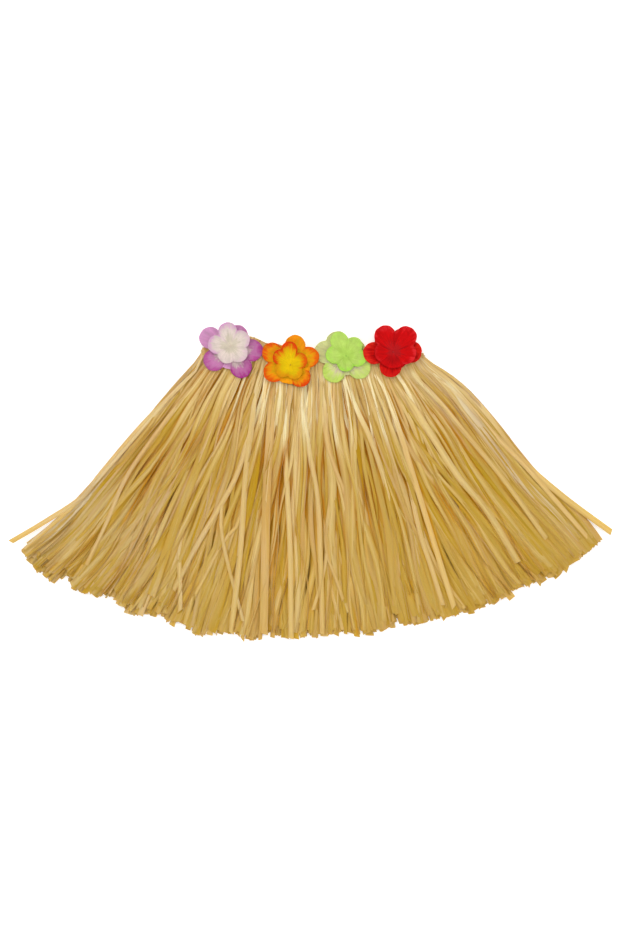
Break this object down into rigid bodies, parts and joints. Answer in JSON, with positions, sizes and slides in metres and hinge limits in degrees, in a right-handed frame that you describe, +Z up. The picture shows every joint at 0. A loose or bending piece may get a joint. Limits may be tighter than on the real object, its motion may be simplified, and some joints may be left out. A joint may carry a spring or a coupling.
{
  "type": "grass skirt",
  "caption": "Short raffia grass skirt laid flat, with strands folded over an elastic waistband and cloth blossoms along the front of the waist.",
  "frame": {"origin": "on the underside, in the middle of the back heading's flat face at the waist", "axes": "+X to the wearer's left as seen from the front, along the waist; +Y from the hem to the waist; +Z up, away from the surface that the skirt lies on, out of the front"},
  "size_m": [0.63, 0.3348, 0.0237],
  "materials": {
    "straw": "satin synthetic raffia, folded lengthwise, golden straw",
    "elastic": "woven elastic tape",
    "purple_cloth": "matte stamped cloth, purple at the edges",
    "cream_cloth": "matte stamped cloth, cream with lilac tips",
    "orange_cloth": "matte stamped cloth, orange to red at the edges",
    "yellow_cloth": "matte stamped cloth, yellow with orange rims",
    "pale_green_cloth": "matte stamped cloth, pale green with a whitish middle",
    "green_cloth": "matte stamped cloth, light green",
    "red_cloth": "matte stamped cloth, red"
  },
  "bodies": {
    "root": {"grass_front": "straw", "grass_back": "straw", "elastic_front": "elastic", "elastic_back": "elastic", "purple_blossom_lower": "purple_cloth", "purple_blossom_upper": "cream_cloth", "orange_blossom_lower": "orange_cloth", "orange_blossom_upper": "yellow_cloth", "green_blossom_lower": "pale_green_cloth", "green_blossom_upper": "green_cloth", "red_blossom_lower": "red_cloth", "red_blossom_upper": "red_cloth"}
  },
  "joints": []
}
